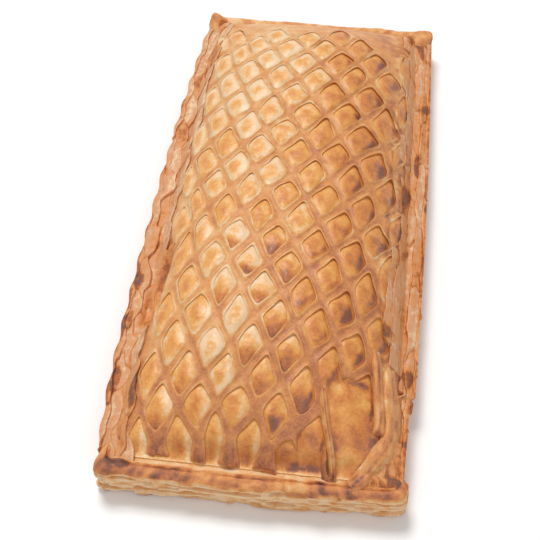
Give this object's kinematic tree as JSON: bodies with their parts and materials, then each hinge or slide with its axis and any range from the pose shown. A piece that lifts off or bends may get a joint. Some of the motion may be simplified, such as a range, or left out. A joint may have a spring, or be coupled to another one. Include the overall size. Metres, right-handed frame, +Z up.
{
  "type": "cheese puff pastry",
  "caption": "Oblong baked puff pastry with a cheese filling that swells up through the windows of a lattice-cut lid, on a layered base with a puffed rim.",
  "frame": {"origin": "on the surface the pastry rests on, under the middle of its outline", "axes": "+Z up, +Y along the length towards the far end of the picture, +X across the width to the right"},
  "size_m": [0.0738, 0.1638, 0.0243],
  "materials": {
    "layered_dough": "dry, flaky baked dough, pale on its cut layers and brown on its rim",
    "browned_cheese": "soft baked cheese filling, cream at the edges of the windows and browned in their middles",
    "baked_lattice": "golden brown baked dough with a thin egg glaze"
  },
  "bodies": {
    "root": {"base_sheet": "layered_dough", "cheese_filling": "browned_cheese", "lattice_lid": "baked_lattice"}
  },
  "joints": []
}
